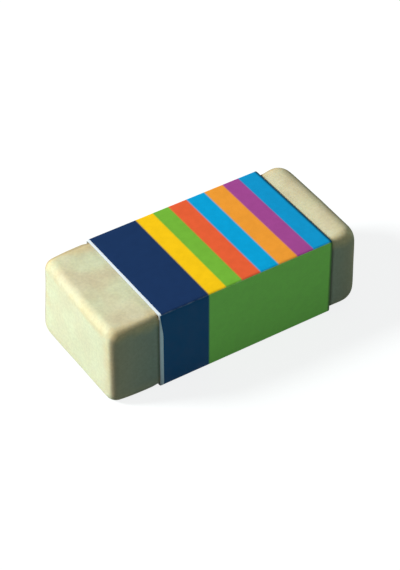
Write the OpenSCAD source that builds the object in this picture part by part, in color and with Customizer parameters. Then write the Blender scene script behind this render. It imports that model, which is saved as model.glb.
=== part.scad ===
// A small rubber eraser in a printed card sleeve.
// The block lies along X and the sleeve wraps it. The origin is under the middle of the block's
// length and the sleeve's width, at the surface that the sleeve stands on, with +Z up and the bare
// front end towards -X.

/* [Rubber block] */
// Length of the block
block_l = 40.6; // [38:0.1:60]
// Width of the block
block_w = 17.9; // [12:0.1:30]
// Height of the block
block_h = 12.2; // [8:0.1:20]
// Radius of the long edges inside the sleeve
edge_r = 1.1; // [0.6:0.1:1.8]
// Radius of the edges round each end face
end_r = 1.4; // [0.8:0.1:2]
// Radius that the long edges widen to at each end
corner_r = 2.2; // [2:0.1:3.8]
// Length at each end over which the long edges widen
taper_l = 6; // [4:0.5:12]

/* [Card sleeve] */
// Length of the sleeve along the block
sleeve_l = 28.3; // [18:0.1:32]
// Length of block left bare at the front end
front_bare = 7.6; // [4:0.1:12]
// Thickness of the card
card_t = 0.35; // [0.2:0.05:0.5]
// Clearance between the card and the block
fit_gap = 0.05; // [0.03:0.01:0.2]
// Inside radius of a fold
fold_r = 0.2; // [0.1:0.05:0.6]
// Height of the glued flap inside the back panel
flap_w = 7; // [4:0.5:7.5]
// Step from the bottom of the sleeve up to the free edge of the back panel
seam_step = 0.9; // [0.6:0.1:2]

/* [Print] */
// Length of the plain band at the front end of the sleeve
band_w = 8; // [3:0.1:12]

/* [Hidden] */

// Colours of the rubber, the front band, the sides and the stripes from front to back
rubber_colour = "#dcd6b4";
band_colour = "#1b2c63";
side_colour = "#4b8f37";
stripe_colours = ["#fdc712", "#7cb82f", "#ec6237", "#00a3dd", "#f99d2a", "#a8479a", "#0d9bd8"];

// Steps round a quarter of an edge and along a taper of the block, and round a full fold circle
arc_n = 8;
taper_n = 4;
fold_fn = 48;

// Least corner radius of the block's flat end faces
face_r = 0.3;

// Heights of the block's underside and of the sleeve
block_z = card_t + fit_gap;
sleeve_h = block_z + block_h + fit_gap + card_t;

// Width of the sleeve, whose back is double where the flap is glued, and the middle of the block,
// which lies half a card nearer the front
sleeve_w = block_w + 2 * fit_gap + 3 * card_t;
block_y = -card_t / 2;

// Place of the sleeve's front end
sleeve_x = front_bare - block_l / 2;

// Outside radius of a fold, and the length of one stripe
fold_out = fold_r + card_t;
stripe_l = (sleeve_l - band_w) / len(stripe_colours);

// Places of the block's sections on one side of its middle: along the taper, then round the end edge.
taper_x = [for (i = [0:taper_n - 1]) block_l / 2 - taper_l + i * (taper_l - end_r) / taper_n];
end_x = [for (i = [0:arc_n]) block_l / 2 - end_r * (1 - sin(90 * i / arc_n))];
half_x = concat(taper_x, end_x);
section_x = concat([for (i = [len(half_x) - 1:-1:0]) -half_x[i]], half_x);

// How far the section at x draws in from the sides, round the end edge.
function draw_in(x) =
    let (past = max(0, abs(x) - block_l / 2 + end_r))
    end_r - sqrt(max(0, end_r * end_r - past * past));

// Radius of the long edges at x, growing ever faster along the taper to the end's corners.
function long_r(x) =
    let (t = max(0, abs(x) - block_l / 2 + taper_l) / taper_l)
    edge_r + (corner_r - edge_r) * t * t;

// Section of the block at x: a rectangle with round corners, as a ring of points.
function section(x) =
    let (
        inset = draw_in(x),
        r = max(face_r, long_r(x) - inset),
        mid_y = block_w / 2 - inset - r,
        mid_z = block_h / 2 - inset - r
    )
    [for (side = [[1, 1, 0], [-1, 1, 90], [-1, -1, 180], [1, -1, 270]], i = [0:arc_n])
        let (angle = side[2] + 90 * i / arc_n)
        [x, side[0] * mid_y + r * cos(angle), side[1] * mid_z + r * sin(angle)]];

// Skin over rings of points: quads between neighbours, and a flat face on each end.
module skin(rings) {
    n = len(rings[0]);
    last = len(rings) - 1;
    walls = [for (i = [0:last - 1], j = [0:n - 1])
        [i * n + j, (i + 1) * n + j, (i + 1) * n + (j + 1) % n, i * n + (j + 1) % n]];
    first_face = [for (j = [0:n - 1]) j];
    last_face = [for (j = [n - 1:-1:0]) last * n + j];
    polyhedron([for (ring = rings) each ring], concat([first_face, last_face], walls));
}

// The block: flat faces, tight long edges in the sleeve, and rounded ends.
module eraser_block() {
    color(rubber_colour)
        translate([0, block_y, block_z + block_h / 2])
            skin([for (x = section_x) section(x)]);
}

// Rectangle from its low corner to its high one, with all four rounded.
module round_rect(low, high, r) {
    size = high - low;
    translate((low + high) / 2) {
        square([size[0], size[1] - 2 * r], center = true);
        square([size[0] - 2 * r, size[1]], center = true);
        for (sy = [-1, 1], sz = [-1, 1])
            translate([sy * (size[0] / 2 - r), sz * (size[1] / 2 - r)])
                circle(r, $fn = fold_fn);
    }
}

// A closed loop of card, with the outside of its back panel at back_y.
module card_loop(back_y) {
    wall = [card_t, card_t];
    low = [-sleeve_w / 2, 0];
    high = [back_y, sleeve_h];
    difference() {
        round_rect(low, high, fold_out);
        round_rect(low + wall, high - wall, fold_r);
    }
}

// Cross-section of the sleeve in Y and Z, one strip of card from end to end. The outer loop is the
// front half of the bottom, the front, the top, and the back panel down to its free edge. The loop
// one card nearer the front is the other half of the bottom and the flap glued inside the back.
module card_section() {
    back_y = sleeve_w / 2;
    difference() {
        card_loop(back_y);
        translate([0, -card_t])
            square([sleeve_w, card_t + seam_step]);
    }
    intersection() {
        card_loop(back_y - card_t);
        square([sleeve_w, card_t + flap_w]);
    }
}

// The part of the cross-section above the two upper folds, mitred through each fold.
module top_field() {
    polygon([
        [-sleeve_w / 2, sleeve_h],
        [sleeve_w / 2, sleeve_h],
        [sleeve_w / 2 - fold_out, sleeve_h - fold_out],
        [fold_out - sleeve_w / 2, sleeve_h - fold_out]
    ]);
}

// Runs a cross-section along the sleeve for a length, starting from a distance behind its front.
module along_sleeve(from, length) {
    translate([sleeve_x + from, 0, 0])
        rotate([90, 0, 90])
            linear_extrude(length)
                children();
}

// The sleeve: one folded card, drawn as its printed fields.
module card_sleeve() {
    color(band_colour)
        along_sleeve(0, band_w)
            card_section();
    color(side_colour)
        along_sleeve(band_w, sleeve_l - band_w)
            difference() {
                card_section();
                top_field();
            }
    for (i = [0:len(stripe_colours) - 1])
        color(stripe_colours[i])
            along_sleeve(band_w + i * stripe_l, stripe_l)
                intersection() {
                    card_section();
                    top_field();
                }
}

eraser_block();
card_sleeve();
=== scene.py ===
from math import cos, radians, sin

import bpy
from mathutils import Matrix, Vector


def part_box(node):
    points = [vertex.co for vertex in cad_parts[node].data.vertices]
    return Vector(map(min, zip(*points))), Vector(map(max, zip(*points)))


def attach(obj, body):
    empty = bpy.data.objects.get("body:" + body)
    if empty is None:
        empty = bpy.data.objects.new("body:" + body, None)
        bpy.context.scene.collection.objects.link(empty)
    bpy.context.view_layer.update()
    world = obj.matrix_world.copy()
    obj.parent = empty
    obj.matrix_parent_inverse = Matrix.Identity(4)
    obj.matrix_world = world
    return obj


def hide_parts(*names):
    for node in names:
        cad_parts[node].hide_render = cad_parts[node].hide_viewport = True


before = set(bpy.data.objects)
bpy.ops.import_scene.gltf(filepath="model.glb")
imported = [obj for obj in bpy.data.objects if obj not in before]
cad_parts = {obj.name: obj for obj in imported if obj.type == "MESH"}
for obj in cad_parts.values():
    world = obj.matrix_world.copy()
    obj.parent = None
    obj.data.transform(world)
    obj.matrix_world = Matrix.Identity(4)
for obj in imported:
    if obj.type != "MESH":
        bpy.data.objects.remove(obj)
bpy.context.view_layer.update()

mm = 0.001
slack = 0.02 * mm           # a vertex this close to a place lies on it
scene = bpy.context.scene

# places of both pieces in the CAD frame
blockLow, blockHigh = (Vector(corner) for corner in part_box("eraser_block"))
sleeveLow, sleeveHigh = (Vector(corner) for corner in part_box("card_sleeve"))
cardAndGap = sleeveHigh.z - blockHigh.z                 # card and clearance over the block
cardThick = sleeveHigh.y - blockHigh.y - cardAndGap     # at the back the card lies double
blockMiddle = (blockLow + blockHigh) / 2
blockHalf = (blockHigh - blockLow) / 2
sleeveMiddle = (sleeveLow + sleeveHigh) / 2


# working in edit mode

def startEdit(piece):
    bpy.ops.object.select_all(action="DESELECT")
    bpy.context.view_layer.objects.active = piece
    piece.select_set(True)
    bpy.ops.object.mode_set(mode="EDIT")
    bpy.ops.mesh.select_mode(type="VERT")
    bpy.ops.mesh.select_all(action="DESELECT")


def pickVerts(piece, test):
    # selects the vertices whose place passes the test, and edges and faces between them
    bpy.ops.mesh.select_all(action="DESELECT")
    bpy.ops.object.mode_set(mode="OBJECT")
    for vert in piece.data.vertices:
        vert.select = bool(test(vert.co))
    bpy.ops.object.mode_set(mode="EDIT")


def near(value, goal, reach=slack):
    return abs(value - goal) < reach


def evenSteps(low, high, count):
    # places from one to the other, both included
    return [low + (high - low) * i / count for i in range(count + 1)]


def evenPlaces(low, high, spacing):
    return evenSteps(low, high, max(1, round((high - low) / spacing)))


def cutAcross(places, axis):
    # cuts the whole piece by planes square to one axis
    normal = (axis == 0, axis == 1, axis == 2)
    for place in places:
        spot = [0, 0, 0]
        spot[axis] = place
        bpy.ops.mesh.select_all(action="SELECT")
        bpy.ops.mesh.bisect(plane_co=spot, plane_no=normal)


def applyAll(piece):
    for modifier in list(piece.modifiers):
        bpy.ops.object.modifier_apply(modifier=modifier.name)


# small helpers for node trees, in which a colour is a code as written on screen, such as "fdc712"

noiseSpan = (0.3, 0.7)      # most of a noise lies between these


def colourOf(code):
    # the colour in Blender's linear values
    parts = [int(code[i:i + 2], 16) / 255 for i in (0, 2, 4)]
    linear = [c / 12.92 if c < 0.04045 else ((c + 0.055) / 1.055) ** 2.4 for c in parts]
    return (*linear, 1.0)


def newMaterial(name, settings):
    material = bpy.data.materials.new(name)
    material.use_nodes = True
    tree = material.node_tree
    shader = tree.nodes["Principled BSDF"]
    for socket, value in settings.items():
        shader.inputs[socket].default_value = value
    return material, tree, shader


def addNode(tree, kind, values=None, **settings):
    node = tree.nodes.new(kind)
    for key, value in settings.items():
        setattr(node, key, value)
    for key, value in (values or {}).items():
        node.inputs[key].default_value = value
    return node


def feed(tree, value, socket):
    # links another node's output to the socket, or sets the socket to a number or a colour
    if isinstance(value, bpy.types.NodeSocket):
        tree.links.new(value, socket)
    else:
        socket.default_value = colourOf(value) if isinstance(value, str) else value


def objectPlace(tree):
    return addNode(tree, "ShaderNodeTexCoord").outputs["Object"]


def splitNode(tree, place):
    node = addNode(tree, "ShaderNodeSeparateXYZ")
    tree.links.new(place, node.inputs[0])
    return node.outputs


def mathNode(tree, operation, first, second=None, clamp=False):
    node = addNode(tree, "ShaderNodeMath", operation=operation, use_clamp=clamp)
    feed(tree, first, node.inputs[0])
    if second is not None:
        feed(tree, second, node.inputs[1])
    return node.outputs[0]


def noiseNode(tree, place, scale, detail, roughness):
    values = {"Scale": scale, "Detail": detail, "Roughness": roughness}
    node = addNode(tree, "ShaderNodeTexNoise", values)
    tree.links.new(place, node.inputs["Vector"])
    return node.outputs["Fac"]


def rampNode(tree, factor, stops):
    node = addNode(tree, "ShaderNodeValToRGB")
    ramp = node.color_ramp
    while len(ramp.elements) < len(stops):
        ramp.elements.new(1.0)
    for element, (position, code) in zip(ramp.elements, stops):
        element.position = position
        element.color = colourOf(code)
    tree.links.new(factor, node.inputs[0])
    return node.outputs[0]


def mixNode(tree, factor, first, second, blend="MIX"):
    node = addNode(tree, "ShaderNodeMix", data_type="RGBA", blend_type=blend)
    for index, value in ((0, factor), (6, first), (7, second)):
        feed(tree, value, node.inputs[index])
    return node.outputs[2]


def rangeNode(tree, value, low, high, outLow=0.0, outHigh=1.0):
    values = {"From Min": low, "From Max": high, "To Min": outLow, "To Max": outHigh}
    node = addNode(tree, "ShaderNodeMapRange", values, interpolation_type="SMOOTHSTEP")
    tree.links.new(value, node.inputs["Value"])
    return node.outputs[0]


def bumpNode(tree, height, strength, depth, under=None):
    node = addNode(tree, "ShaderNodeBump", {"Strength": strength, "Distance": depth})
    tree.links.new(height, node.inputs["Height"])
    if under is not None:
        tree.links.new(under, node.inputs["Normal"])
    return node.outputs[0]


# camera, as the photograph was taken
view = {
    "azimuth": radians(-33.08),
    "elevation": radians(41.1),
    "distance": 307.6 * mm,
    "lens": 138.9,
    "aimRight": -1.3 * mm,      # from the middle of the sleeve
    "aimUp": -1.28 * mm,
    "clipStart": 10 * mm,
}


def addCamera():
    az, el = view["azimuth"], view["elevation"]
    back = Vector((sin(az) * cos(el), -cos(az) * cos(el), sin(el)))
    turn = back.to_track_quat("Z", "Y")
    aim = sleeveMiddle + turn @ Vector((view["aimRight"], view["aimUp"], 0))
    bpy.ops.object.camera_add(location=aim + back * view["distance"], rotation=turn.to_euler())
    camera = bpy.context.object
    camera.name = "photoView"
    camera.data.lens = view["lens"]
    camera.data.clip_start = view["clipStart"]
    scene.camera = camera


addCamera()
print("camera set")


# the rubber block
rubber = {
    # form
    "edgeRadius": 1.05 * mm,    # the long edges in the sleeve
    "taper": 6 * mm,            # how far from either end they start to widen
    "taperSteps": 5,
    "arcSteps": 5,              # across every rounding
    "swellLow": (0.37 * mm, 0.37 * mm),     # growth outside the card, to the front and downwards
    "swellHigh": (0.73 * mm, 0.37 * mm),    # growth to the back and upwards
    "swellSteps": 5,
    "ends": [
        {
            "plain": blockLow.x,        # where the plain block ends
            "fuller": 0,                # how far the worn end stands out past that
            "out": -1,                  # the way out, along X
            "mouth": sleeveLow.x,       # the card's end
            "corner": 1.8 * mm,         # what the long edges' radius widens to
            "round": 1.25 * mm,         # radius round the end face
            "pressed": 0.46 * mm,       # how far one top corner is pressed in, and on which side
            "pressedSide": blockHigh.y,
            "startLow": (0.8, 0.8),     # shares of the swelling that come right beside the card
            "startHigh": (0.8, 0.8),
            "lip": 0.04 * mm,           # the length that keeps them, and the one that brings the rest
            "reach": 1.2 * mm,
        },
        {
            "plain": blockHigh.x,
            "fuller": 0.2 * mm,
            "out": 1,
            "mouth": sleeveHigh.x,
            "corner": 2.4 * mm,
            "round": 1.9 * mm,
            "pressed": 0.15 * mm,
            "pressedSide": blockLow.y,
            "startLow": (0.6, 0.6),
            "startHigh": (0.5, 0.35),
            "lip": 0.3 * mm,
            "reach": 2.6 * mm,
        },
    ],
    "pressCore": 1.5 * mm,      # how far from a pressed corner the rubber gives in full, and at all
    "pressReach": 10 * mm,
    "cell": 2 * mm,             # spacing of the cuts across the flat faces
    "cellLeast": 0.03 * mm,     # cuts closer than this are one
    "sideMargin": 0.8 * mm,     # from the widest corner to the first cut across a face
    "rimSlack": 0.3 * mm,       # a vertex further outside those cuts than this is on the rim
    "roundClear": 0.2 * mm,     # from the rounding of the end face to the last cut before it
    "levels": 2,                # of subdivision
    "unevenSize": 6 * mm,
    "uneven": 0.06 * mm,

    # finish
    "clouds": (150, 2, 0.45),   # noises: scale, detail and roughness
    "patches": (330, 3, 0.5),
    "grain": (2600, 3, 0.6),
    # pinkish tan clouds run into pale green ones
    "cloudColours": [(0.32, "cdbb9e"), (0.44, "d4c8a8"), (0.54, "d3d2b0"), (0.68, "d5dabb")],
    "patchColours": [(0.32, "ccc0a2"), (0.5, "d6d0b0"), (0.68, "dfdcc0")],
    "patchShare": 0.45,
    "pale": 0.45,               # how much paler and greener the front end is, and how deep
    "paleDepth": 1.4 * mm,
    "paleColour": "dce0c6",
    "soiled": 0.5,              # how tanned the back end is, and how far from it
    "soiledDepth": 4.5 * mm,
    "soiledColour": "b29c7a",
    "dull": 0.85,               # how greyed the faces are that the card's sides rub, partly rub grime and partly painted shade of the shaded side, and how deep
    "dullDepth": 0.55 * mm,
    "grimeAndShadeReach": 6.5 * mm,     # how far from the ends the greying, partly painted shade, runs from browner to darker and greener
    "grimeAndShadeColours": [(0.0, "98866c"), (0.5, "8c8878"), (1.0, "7a8078")],
    "mouthShade": 0.8,             # how dark the painted shade of the gaps at the card's ends is on these faces, and how wide
    "mouthShadeWidth": 0.6 * mm,
    "mouthShadeColour": "4e4e40",
    "yellow": 0.45,             # how yellowed the edges are, partly worn rubber and partly painted glow where the light catches them, how near them in full, and how far at all
    "yellowFull": 0.1 * mm,
    "yellowReach": 1.9 * mm,
    "yellowRagged": 0.4 * mm,   # how unevenly it ends
    "yellowLess": 0.8 * mm,     # how much further off the edges of the end faces count as lying
    "yellowLow": 0.3,           # share of the yellowing, partly painted glow, that is left down at the bottom, where less light falls
    "yellowColour": "dcb980",
    "flecks": (0.94, 1.05),     # darkest and lightest grain
    "roughness": (0.74, 0.88),
    "grainBump": (0.5, 0.02 * mm),      # strength and depth
    "patchBump": (0.5, 0.04 * mm),
    "shader": {
        "Specular IOR Level": 0.3,
        "Subsurface Weight": 0.15,
        "Subsurface Radius": (1.0, 0.75, 0.45),
        "Subsurface Scale": 1.2 * mm,
    },
}
faceMargin = max(end["corner"] for end in rubber["ends"]) + rubber["sideMargin"]


def faceDepths(tree, place):
    # depths below the ends, the sides, and the top and bottom of the block
    depths = []
    for value, middle, half in zip(place, blockMiddle, blockHalf):
        aside = mathNode(tree, "ABSOLUTE", mathNode(tree, "SUBTRACT", value, middle))
        depths.append(mathNode(tree, "SUBTRACT", half, aside))
    return depths


def edgeYellowAndGlowMask(tree, depths, z, patches):
    # rises towards the block's edges, where the middle one of the three depths is small, and most
    # towards the upper ones, where it is partly painted glow of the lit edges
    fromEnd = mathNode(tree, "ADD", depths[0], rubber["yellowLess"])
    least = mathNode(tree, "MINIMUM", fromEnd, depths[1])
    most = mathNode(tree, "MAXIMUM", fromEnd, depths[1])
    fromEdge = mathNode(tree, "MAXIMUM", least, mathNode(tree, "MINIMUM", most, depths[2]))
    ragged = rangeNode(tree, patches, *noiseSpan, -rubber["yellowRagged"], rubber["yellowRagged"])
    fromEdge = mathNode(tree, "ADD", fromEdge, ragged)
    yellowedAndGlowing = rangeNode(tree, fromEdge, rubber["yellowFull"], rubber["yellowReach"],
                         rubber["yellow"], 0.0)
    share = rangeNode(tree, z, blockLow.z, blockHigh.z, rubber["yellowLow"], 1.0)
    return mathNode(tree, "MULTIPLY", yellowedAndGlowing, share)


def mouthShadeMask(tree, x):
    # rises towards the places where the card's two ends lie: painted shade of the gaps there
    away = [mathNode(tree, "ABSOLUTE", mathNode(tree, "SUBTRACT", x, end["mouth"]))
            for end in rubber["ends"]]
    nearest = mathNode(tree, "MINIMUM", *away)
    return rangeNode(tree, nearest, 0.0, rubber["mouthShadeWidth"], rubber["mouthShade"], 0.0)


def rubberMaterial():
    material, tree, shader = newMaterial("mottledRubber", rubber["shader"])
    place = objectPlace(tree)
    x, y, z = splitNode(tree, place)
    depths = faceDepths(tree, (x, y, z))
    clouds = noiseNode(tree, place, *rubber["clouds"])
    patches = noiseNode(tree, place, *rubber["patches"])
    grain = noiseNode(tree, place, *rubber["grain"])
    mixed = mixNode(tree, rubber["patchShare"], rampNode(tree, clouds, rubber["cloudColours"]),
                    rampNode(tree, patches, rubber["patchColours"]))

    # the front end is paler and greener, and the back end tanned
    paledFront = rangeNode(tree, x, blockLow.x, blockLow.x + rubber["paleDepth"], rubber["pale"], 0.0)
    mixed = mixNode(tree, paledFront, mixed, rubber["paleColour"])
    soiled = rangeNode(tree, x, blockHigh.x - rubber["soiledDepth"], blockHigh.x, 0.0, rubber["soiled"])
    mixed = mixNode(tree, soiled, mixed, rubber["soiledColour"])

    # the card greys the sides it rubs, partly grime and partly painted shade, and beside its ends a
    # line of painted gap shade darkens them
    sideGreyedAndShaded = rangeNode(tree, depths[1], 0.0, rubber["dullDepth"], 1.0, 0.0)
    along = mathNode(tree, "DIVIDE", depths[0], rubber["grimeAndShadeReach"], clamp=True)
    grimeAndShade = rampNode(tree, along, rubber["grimeAndShadeColours"])
    mixed = mixNode(tree, mathNode(tree, "MULTIPLY", sideGreyedAndShaded, rubber["dull"]), mixed, grimeAndShade)
    # painted shade of the gaps beside the card's ends, on the faces the card's sides cover
    mouthShaded = mathNode(tree, "MULTIPLY", sideGreyedAndShaded, mouthShadeMask(tree, x))
    mixed = mixNode(tree, mouthShaded, mixed, rubber["mouthShadeColour"])

    mixed = mixNode(tree, edgeYellowAndGlowMask(tree, depths, z, patches), mixed, rubber["yellowColour"])
    flecks = rangeNode(tree, grain, *noiseSpan, *rubber["flecks"])
    feed(tree, mixNode(tree, 1.0, mixed, flecks, "MULTIPLY"), shader.inputs["Base Color"])
    feed(tree, rangeNode(tree, patches, *noiseSpan, *rubber["roughness"]), shader.inputs["Roughness"])
    fine = bumpNode(tree, grain, *rubber["grainBump"])
    feed(tree, bumpNode(tree, patches, *rubber["patchBump"], fine), shader.inputs["Normal"])
    return material


def tipOf(end):
    # where the worn end lies
    return end["plain"] + end["out"] * end["fuller"]


def sectionPlaces():
    # even ones in the sleeve, closer ones along each taper and out of each mouth
    sections = evenPlaces(sleeveLow.x, sleeveHigh.x, rubber["cell"])
    for end in rubber["ends"]:
        tight = end["round"] + rubber["roundClear"]
        for inward in evenSteps(rubber["taper"], tight, rubber["taperSteps"]):
            sections.append(tipOf(end) - end["out"] * inward)
        for bare in evenSteps(0, end["reach"], rubber["swellSteps"]):
            sections.append(end["mouth"] + end["out"] * (end["lip"] + bare))
    spaced = []
    for x in sorted(sections):
        if not spaced or x - spaced[-1] > rubber["cellLeast"]:
            spaced.append(x)
    return spaced


def widenCorners(block, x, radius):
    # takes the four long edges' rounding at one section from its plain radius to a larger one
    factor = radius / rubber["edgeRadius"]
    reach = rubber["edgeRadius"] + slack
    for y in (blockLow.y, blockHigh.y):
        for z in (blockLow.z, blockHigh.z):
            def inEdge(co):
                return near(co.x, x) and near(co.y, y, reach) and near(co.z, z, reach)

            pickVerts(block, inEdge)
            bpy.ops.transform.resize(value=(1, factor, factor), center_override=(x, y, z))


def swellSection(block, x, end):
    # grows one section outwards, by its own amount on each side: the first share of the swelling
    # beside the card, and from there smoothly on to the full size
    bare = (x - end["mouth"]) * end["out"]
    past = min(1, max(0, bare - end["lip"]) / end["reach"])
    smooth = past * past * (3 - 2 * past)
    factors, centre = [1], [x]
    for side in (0, 1):
        low, high = blockLow[side + 1], blockHigh[side + 1]
        growths = [rubber[swell][side] * (end[start][side] + (1 - end[start][side]) * smooth)
                   for swell, start in (("swellLow", "startLow"), ("swellHigh", "startHigh"))]
        factors.append(1 + sum(growths) / (high - low))
        centre.append(low + (high - low) * growths[0] / sum(growths))
    pickVerts(block, lambda co: near(co.x, x))
    bpy.ops.transform.resize(value=factors, center_override=centre)


def roundRim(block, end):
    # rounds the edges of one end face, which lie outside its middle part
    inward = faceMargin - rubber["rimSlack"]
    rimLow = [low - growth + inward for low, growth in zip(blockLow[1:], rubber["swellLow"])]
    rimHigh = [high + growth - inward for high, growth in zip(blockHigh[1:], rubber["swellHigh"])]

    def onRim(co):
        inside = all(low < value < high for low, value, high in zip(rimLow, co[1:], rimHigh))
        return near(co.x, tipOf(end)) and not inside

    pickVerts(block, onRim)
    bpy.ops.mesh.bevel(offset=end["round"], segments=rubber["arcSteps"], affect="EDGES")


def pressCorner(block, end):
    # presses one top corner in along the block, less and less away from the corner
    corner = Vector((tipOf(end), end["pressedSide"], blockHigh.z))
    pickVerts(block, lambda co: (co - corner).length < rubber["pressCore"])
    bpy.ops.transform.translate(
        value=(-end["out"] * end["pressed"], 0, 0), use_proportional_edit=True,
        proportional_edit_falloff="SMOOTH", proportional_size=rubber["pressReach"])


def shapeEnd(block, sections, end):
    for x in sections + [tipOf(end)]:
        past = 1 - (tipOf(end) - x) * end["out"] / rubber["taper"]
        if past > 0:
            grown = end["corner"] - rubber["edgeRadius"]
            widenCorners(block, x, rubber["edgeRadius"] + grown * past * past)
        if (x - end["mouth"]) * end["out"] > slack:
            swellSection(block, x, end)
    roundRim(block, end)
    pressCorner(block, end)


def wearDown(block):
    # softens the whole form, and makes its faces slightly uneven
    smooth = block.modifiers.new("rounding", "SUBSURF")
    smooth.levels = smooth.render_levels = rubber["levels"]
    cloud = bpy.data.textures.new("handWornSurface", "CLOUDS")
    cloud.noise_scale = rubber["unevenSize"]
    worn = block.modifiers.new("unevenness", "DISPLACE")
    worn.texture = cloud
    worn.texture_coords = "LOCAL"
    worn.strength = rubber["uneven"]
    applyAll(block)
    bpy.ops.object.shade_smooth()


def addBlock():
    bpy.ops.object.select_all(action="DESELECT")
    bpy.ops.mesh.primitive_cube_add(size=2, location=blockMiddle)
    block = bpy.context.object
    block.name = "rubberBlock"
    block.scale = blockHalf
    bpy.ops.object.transform_apply(location=True, rotation=True, scale=True)

    startEdit(block)
    for end in rubber["ends"]:
        pickVerts(block, lambda co: near(co.x, end["plain"]))
        bpy.ops.transform.translate(value=(end["out"] * end["fuller"], 0, 0))
    sections = sectionPlaces()
    cutAcross(sections, 0)
    for axis in (1, 2):
        low, high = blockLow[axis] + faceMargin, blockHigh[axis] - faceMargin
        cutAcross(evenPlaces(low, high, rubber["cell"]), axis)

    def onLongEdge(co):
        offset = co - blockMiddle
        return near(abs(offset.y), blockHalf.y) and near(abs(offset.z), blockHalf.z)

    pickVerts(block, onLongEdge)
    bpy.ops.mesh.bevel(offset=rubber["edgeRadius"], segments=rubber["arcSteps"], affect="EDGES")
    for end in rubber["ends"]:
        shapeEnd(block, sections, end)
    bpy.ops.object.mode_set(mode="OBJECT")

    wearDown(block)
    block.data.materials.append(rubberMaterial())
    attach(block, "block")
    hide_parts("eraser_block")


addBlock()
print("rubber block modelled")


# the card sleeve
card = {
    # form
    "foldRadius": 0.45 * mm,    # outside of a fold
    "foldSteps": 6,
    "flapWidth": 7 * mm,
    "seamStep": 0.9 * mm,       # from the sleeve's bottom up to the back panel's free edge
    "lengthCuts": 42,
    "panelStep": 0.9 * mm,
    "glueGap": 0.01 * mm,       # keeps the flap clear of the panel that it is glued to
    "cutEdge": 0.16 * mm,       # how far a cut edge is rounded over, and in how many steps
    "cutEdgeSteps": 3,
    "cutEdgeSlack": 0.005 * mm,     # a vertex this close to the rounding is on it
    "cutAngle": radians(50),    # corners sharper than this are cut edges
    "creaseAngle": radians(35),     # and sharper than this aren't shaded smooth

    # raw card, as on the inside and the cut edges; its grey is partly the board's own and partly
    # painted shade on the cut edges
    "rawFibre": (2500, 4, 0.65),    # scale, detail and roughness of the noise
    "rawAndShadeColours": [(0.3, "b0b3b8"), (0.7, "c4c6c8")],
    "rawRoughness": (0.8, 0.95),
    "rawBump": (0.6, 0.02 * mm),    # strength and depth

    # print
    "band": 7.9 * mm,
    "bandColour": "183360",
    # on the sides the navy ink is lighter and more teal, and the green lighter than the top's green, as
    # painted light that lifts their shade
    "bandSideWithPaintedLight": "104a78",
    "sideGreenWithPaintedLight": "90d260",
    # colour and length of each stripe, front to back
    "stripes": [
        ("fdc712", 2.8 * mm),
        ("76b43a", 2.6 * mm),
        ("ec5f37", 3.0 * mm),
        ("00a0dc", 3.0 * mm),
        ("f49b34", 3.1 * mm),
        ("a54795", 2.7 * mm),
        ("0a95d2", 3.2 * mm),
    ],
    "softness": 0.22 * mm,      # where one colour runs into the next
    "wear": 0.15,               # how far the ink is rubbed off along a fold, and how wide
    "wearWidth": 0.22 * mm,
    "wearPatches": (0.35, 0.65),    # from whole ink to worn, in the fibre's noise
    "wearColour": "c9cdd2",
    "bareTop": 0.36 * mm,       # white margin along the front cut edge, on top
    "bareFold": 0.12 * mm,      # at the top of the sides
    "bareSide": 0.55 * mm,      # further down them
    "bareDepth": 4.2 * mm,      # where it has its full width
    "bareRagged": 0.06 * mm,
    "bareColour": "d4dae6",
    "backGapShade": 0.8,               # how dark the painted shade of the gap at the back cut edge is, how far in full, and at all
    "backGapShadeFull": 0.18 * mm,
    "backGapShadeWidth": 0.55 * mm,
    "backGapShadeColour": "10201c",
    "fibre": (900, 4, 0.6),     # scale, detail and roughness of the noise
    "tone": (0.96, 1.03),       # darkest and lightest fibre
    "roughness": (0.5, 0.62),
    "bump": (0.4, 0.01 * mm),   # strength and depth
    "shader": {"Specular IOR Level": 0.1},
}


def softStops(fields, length):
    # ramp stops for colours that lie side by side, each running softly into the next
    half = card["softness"] / 2
    stops, reach = [(0.0, fields[0][0])], 0
    for (code, width), (nextCode, _) in zip(fields, fields[1:]):
        reach += width
        stops.append(((reach - half) / length, code))
        stops.append(((reach + half) / length, nextCode))
    return stops


def bareMask(tree, x, z, onTop, fibre):
    # the white margin beside the front cut edge, narrow at the top of the sides
    sideBare = rangeNode(tree, z, sleeveHigh.z - card["bareDepth"], sleeveHigh.z,
                         card["bareSide"], card["bareFold"])
    topBare = mathNode(tree, "MULTIPLY", onTop, card["bareTop"] - card["bareFold"])
    ragged = mathNode(tree, "MULTIPLY", mathNode(tree, "SUBTRACT", fibre, 0.5), card["bareRagged"])
    fromEdge = mathNode(tree, "ADD", mathNode(tree, "SUBTRACT", x, sleeveLow.x), ragged)
    return mathNode(tree, "LESS_THAN", fromEdge, mathNode(tree, "ADD", sideBare, topBare))


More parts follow.
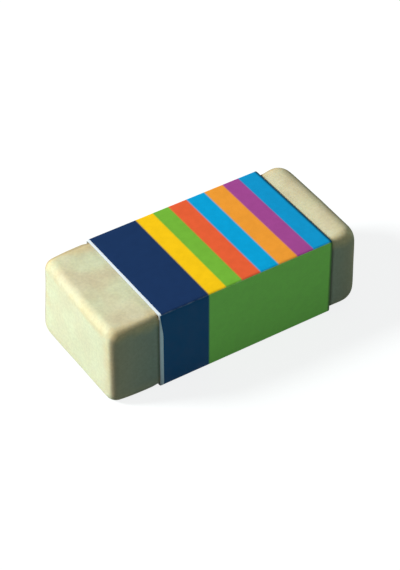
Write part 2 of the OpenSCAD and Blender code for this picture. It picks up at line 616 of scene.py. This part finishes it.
def printMaterial():
    material, tree, shader = newMaterial("printedCard", card["shader"])
    place = objectPlace(tree)
    x, y, z = splitNode(tree, place)
    fibre = noiseNode(tree, place, *card["fibre"])
    length = sleeveHigh.x - sleeveLow.x
    along = mathNode(tree, "DIVIDE", mathNode(tree, "SUBTRACT", x, sleeveLow.x), length)
    topFields = [(card["bandColour"], card["band"])] + card["stripes"]
    # the sides' colours carry painted light that lifts their shade
    sideFields = [(card["bandSideWithPaintedLight"], card["band"]), (card["sideGreenWithPaintedLight"], length)]

    # the top field ends at the mitre through the folds
    mitre = sleeveHigh.z - sleeveHigh.y
    lift = mathNode(tree, "SUBTRACT", z, mathNode(tree, "ABSOLUTE", y))
    onTop = mathNode(tree, "GREATER_THAN", lift, mitre)
    ink = mixNode(tree, onTop, rampNode(tree, along, softStops(sideFields, length)),
                  rampNode(tree, along, softStops(topFields, length)))

    # ink rubbed thin along the folds
    fromFold = mathNode(tree, "ABSOLUTE", mathNode(tree, "SUBTRACT", lift, mitre))
    worn = rangeNode(tree, fromFold, 0.0, card["wearWidth"], card["wear"], 0.0)
    patchy = mathNode(tree, "MULTIPLY", worn, rangeNode(tree, fibre, *card["wearPatches"]))
    ink = mixNode(tree, patchy, ink, card["wearColour"])

    # bare along the front cut edge, and painted shade of the gap along the back one
    ink = mixNode(tree, bareMask(tree, x, z, onTop, fibre), ink, card["bareColour"])
    fromBack = mathNode(tree, "SUBTRACT", sleeveHigh.x, x)
    backGapShaded = rangeNode(tree, fromBack, card["backGapShadeFull"], card["backGapShadeWidth"], card["backGapShade"], 0.0)
    ink = mixNode(tree, backGapShaded, ink, card["backGapShadeColour"])

    tone = rangeNode(tree, fibre, *noiseSpan, *card["tone"])
    feed(tree, mixNode(tree, 1.0, ink, tone, "MULTIPLY"), shader.inputs["Base Color"])
    feed(tree, rangeNode(tree, fibre, *noiseSpan, *card["roughness"]), shader.inputs["Roughness"])
    feed(tree, bumpNode(tree, fibre, *card["bump"]), shader.inputs["Normal"])
    return material


def rawCardMaterial():
    material, tree, shader = newMaterial("rawCard", {})
    fibre = noiseNode(tree, objectPlace(tree), *card["rawFibre"])
    feed(tree, rampNode(tree, fibre, card["rawAndShadeColours"]), shader.inputs["Base Color"])
    feed(tree, rangeNode(tree, fibre, *noiseSpan, *card["rawRoughness"]), shader.inputs["Roughness"])
    feed(tree, bumpNode(tree, fibre, *card["rawBump"]), shader.inputs["Normal"])
    return material


def runPanel(direction, length):
    # runs the picked edge of the strip on flat, in even steps
    steps = max(1, round(length / card["panelStep"]))
    step = Vector(direction) * length / steps
    for _ in range(steps):
        bpy.ops.mesh.extrude_region_move(TRANSFORM_OT_translate={"value": step})


def foldOver(y, z, turn):
    # folds the picked edge of the strip through a right angle about a line along X
    bpy.ops.mesh.spin(steps=card["foldSteps"], angle=radians(90), center=(0, y, z), axis=(turn, 0, 0))


def foldStrip(sleeve, flapY):
    # from the bottom panel the strip rises as the flap at the back, and the other way it runs
    # up the front, over the top and down the back again, outside the flap
    low, high, r = sleeveLow, sleeveHigh, card["foldRadius"]
    pickVerts(sleeve, lambda co: near(co.y, flapY - r))
    foldOver(flapY - r, low.z + r, -1)
    runPanel((0, 0, 1), card["flapWidth"] - r)
    pickVerts(sleeve, lambda co: near(co.y, low.y + r) and near(co.z, low.z))
    foldOver(low.y + r, low.z + r, 1)
    runPanel((0, 0, 1), high.z - low.z - 2 * r)
    foldOver(low.y + r, high.z - r, 1)
    runPanel((0, 1, 0), high.y - low.y - 2 * r)
    foldOver(high.y - r, high.z - r, 1)
    runPanel((0, 0, -1), high.z - r - low.z - card["seamStep"])


def thickenCard(sleeve):
    # the card's inside and its cut edges show the raw card
    thick = sleeve.modifiers.new("cardThickness", "SOLIDIFY")
    thick.thickness = cardThick - card["glueGap"]
    thick.offset = -1
    thick.use_even_offset = True
    thick.material_offset = 1
    thick.material_offset_rim = 2
    soft = sleeve.modifiers.new("cutEdges", "BEVEL")
    soft.width = card["cutEdge"]
    soft.segments = card["cutEdgeSteps"]
    soft.limit_method = "ANGLE"
    soft.angle_limit = card["cutAngle"]
    soft.harden_normals = True
    raw = rawCardMaterial()
    for material in (printMaterial(), raw, raw):
        sleeve.data.materials.append(material)
    applyAll(sleeve)


def onBackEdge(co):
    # on the outer rounding of the back cut edge
    reach = card["cutEdge"] + card["cutEdgeSlack"]
    half, r = (sleeveHigh - sleeveLow) / 2, card["foldRadius"]
    past = [max(0, abs(co[i] - sleeveMiddle[i]) - half[i] + r) for i in (1, 2)]
    return co.x > sleeveHigh.x - reach and r - Vector(past).length < reach


def addSleeve():
    low, high = sleeveLow, sleeveHigh
    flapY = high.y - cardThick          # outside of the flap, against the back panel
    flat = flapY - low.y - 2 * card["foldRadius"]
    bpy.ops.object.select_all(action="DESELECT")
    bpy.ops.mesh.primitive_grid_add(
        x_subdivisions=card["lengthCuts"], y_subdivisions=round(flat / card["panelStep"]), size=1,
        location=(sleeveMiddle.x, (flapY + low.y) / 2, low.z))
    sleeve = bpy.context.object
    sleeve.name = "cardSleeve"
    sleeve.scale = (high.x - low.x, flat, 1)
    bpy.ops.object.transform_apply(location=True, rotation=True, scale=True)

    startEdit(sleeve)
    foldStrip(sleeve, flapY)
    bpy.ops.mesh.select_all(action="SELECT")
    bpy.ops.mesh.flip_normals()
    bpy.ops.object.mode_set(mode="OBJECT")
    thickenCard(sleeve)

    # the ink, with its painted gap shade, runs on over the rounding of the back cut edge
    startEdit(sleeve)
    pickVerts(sleeve, onBackEdge)
    sleeve.active_material_index = 0
    bpy.ops.object.material_slot_assign()
    bpy.ops.object.mode_set(mode="OBJECT")
    bpy.ops.object.shade_smooth_by_angle(angle=card["creaseAngle"])
    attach(sleeve, "sleeve")
    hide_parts("card_sleeve")


addSleeve()
print("card sleeve folded")


# floor, lamps and background
studio = {
    "floorSize": 3.0,
    "floorSeen": "7e8084",      # lit part of the floor as the camera sees it
    "floorGlow": 0.83,          # the rest of its white, which keeps the shadow pale
    "floorBounce": "728886",
    "floorShader": {
        "Emission Color": (1, 1, 1, 1),
        "Roughness": 0.9,
        "Specular IOR Level": 0.1,
    },
    "key": {"from": (-0.68, 0.39, 0.53), "power": 12.4, "size": 0.26, "colour": "fafff6"},
    "fill": {"from": (0.45, -0.6, 0.3), "power": 1.05, "size": 0.6, "colour": "a6f4ea"},
    "sky": 0.2,
}


def addFloor():
    bpy.ops.object.select_all(action="DESELECT")
    bpy.ops.mesh.primitive_plane_add(size=studio["floorSize"])
    floor = bpy.context.object
    floor.name = "studioFloor"
    material, tree, shader = newMaterial("paleFloor", studio["floorShader"])
    path = addNode(tree, "ShaderNodeLightPath")
    seen = mathNode(tree, "MAXIMUM", path.outputs["Is Camera Ray"], path.outputs["Is Glossy Ray"])
    shade = mixNode(tree, seen, studio["floorBounce"], studio["floorSeen"])
    feed(tree, shade, shader.inputs["Base Color"])
    glow = mathNode(tree, "MULTIPLY", seen, studio["floorGlow"])
    feed(tree, glow, shader.inputs["Emission Strength"])
    floor.data.materials.append(material)


def addLamp(name, values):
    place = Vector(values["from"])
    turn = place.to_track_quat("Z", "Y")
    bpy.ops.object.light_add(type="AREA", location=place, rotation=turn.to_euler())
    lamp = bpy.context.object
    lamp.name = name
    lamp.data.shape = "DISK"
    lamp.data.size = values["size"]
    lamp.data.energy = values["power"]
    lamp.data.color = colourOf(values["colour"])[:3]


def addSky():
    # a dim white sky, which is full white where it is seen
    world = bpy.data.worlds.new("studioSky")
    world.use_nodes = True
    scene.world = world
    tree = world.node_tree
    glow = tree.nodes["Background"]
    path = addNode(tree, "ShaderNodeLightPath")
    seen = mathNode(tree, "MAXIMUM", path.outputs["Is Camera Ray"], path.outputs["Is Transmission Ray"])
    feed(tree, (1, 1, 1, 1), glow.inputs["Color"])
    feed(tree, rangeNode(tree, seen, 0, 1, studio["sky"], 1.0), glow.inputs["Strength"])


addFloor()
addLamp("keyLamp", studio["key"])
addLamp("fillLamp", studio["fill"])
addSky()
scene.view_settings.view_transform = "Standard"
print("studio lit")
